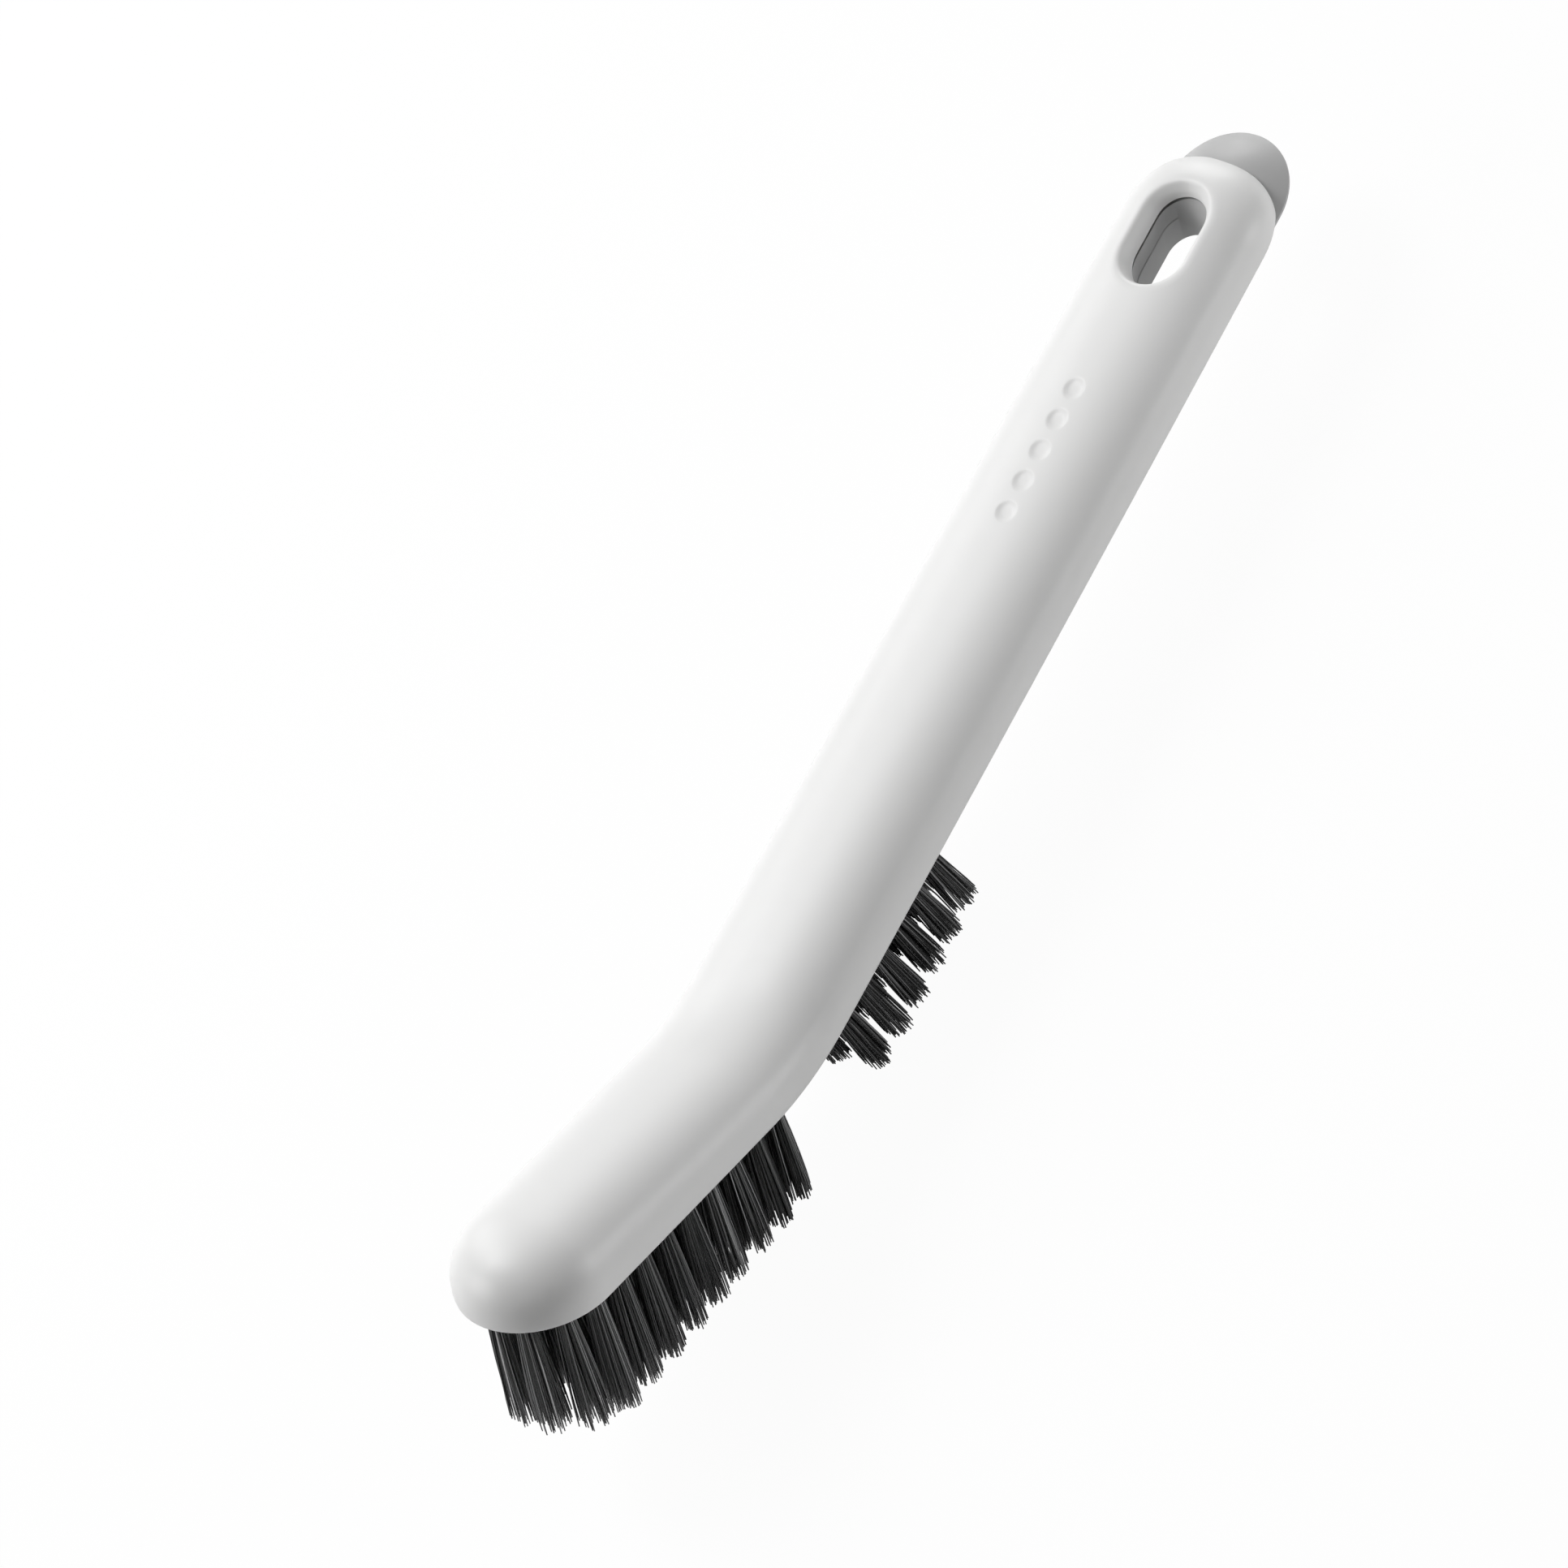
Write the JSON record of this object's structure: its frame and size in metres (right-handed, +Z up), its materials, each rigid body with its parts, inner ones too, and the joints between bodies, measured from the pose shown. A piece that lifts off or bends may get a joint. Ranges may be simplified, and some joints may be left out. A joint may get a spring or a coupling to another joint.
{
  "type": "shoe brush",
  "caption": "Long-handled shoe brush: bent white shell over a grey base, dark bristle tufts under the head and behind the bend, hanging slot in the tail.",
  "frame": {"origin": "centre of the bounding box in plan, on the floor plane that the rear tufts' tips touch", "axes": "+X along the handle from the brush head to the tail, +Y across, +Z up; the bristles point to -Z"},
  "size_m": [0.2672, 0.0318, 0.0581],
  "materials": {
    "shell": "white satin polypropylene, moulded",
    "base": "mid grey polypropylene, moulded",
    "bristles": "near-black nylon or polypropylene monofilament, slightly shiny"
  },
  "bodies": {
    "root": {"base": "base", "front_tuft_inner_01": "bristles", "front_tuft_inner_02": "bristles", "front_tuft_inner_03": "bristles", "front_tuft_inner_04": "bristles", "front_tuft_inner_05": "bristles", "front_tuft_inner_06": "bristles", "front_tuft_inner_07": "bristles", "front_tuft_inner_08": "bristles", "front_tuft_inner_09": "bristles", "front_tuft_inner_10": "bristles", "front_tuft_inner_11": "bristles", "front_tuft_inner_12": "bristles", "front_tuft_inner_13": "bristles", "front_tuft_inner_14": "bristles", "front_tuft_inner_15": "bristles", "front_tuft_inner_16": "bristles", "front_tuft_inner_17": "bristles", "front_tuft_inner_18": "bristles", "front_tuft_outer_01": "bristles", "front_tuft_outer_02": "bristles", "front_tuft_outer_03": "bristles", "front_tuft_outer_04": "bristles", "front_tuft_outer_05": "bristles", "front_tuft_outer_06": "bristles", "front_tuft_outer_07": "bristles", "front_tuft_outer_08": "bristles", "front_tuft_outer_09": "bristles", "front_tuft_outer_10": "bristles", "front_tuft_outer_11": "bristles", "front_tuft_outer_12": "bristles", "front_tuft_outer_13": "bristles", "front_tuft_outer_14": "bristles", "front_tuft_outer_15": "bristles", "front_tuft_outer_16": "bristles", "front_tuft_outer_17": "bristles", "front_tuft_outer_18": "bristles", "front_tuft_outer_19": "bristles", "front_tuft_outer_20": "bristles", "front_tuft_outer_21": "bristles", "front_tuft_outer_22": "bristles", "handle_shell": "shell", "rear_tuft_far_1": "bristles", "rear_tuft_far_2": "bristles", "rear_tuft_far_3": "bristles", "rear_tuft_far_4": "bristles", "rear_tuft_far_5": "bristles", "rear_tuft_far_6": "bristles", "rear_tuft_middle_1": "bristles", "rear_tuft_middle_2": "bristles", "rear_tuft_middle_3": "bristles", "rear_tuft_middle_4": "bristles", "rear_tuft_middle_5": "bristles", "rear_tuft_middle_6": "bristles", "rear_tuft_near_1": "bristles", "rear_tuft_near_2": "bristles", "rear_tuft_near_3": "bristles", "rear_tuft_near_4": "bristles", "rear_tuft_near_5": "bristles", "rear_tuft_near_6": "bristles"}
  },
  "joints": []
}
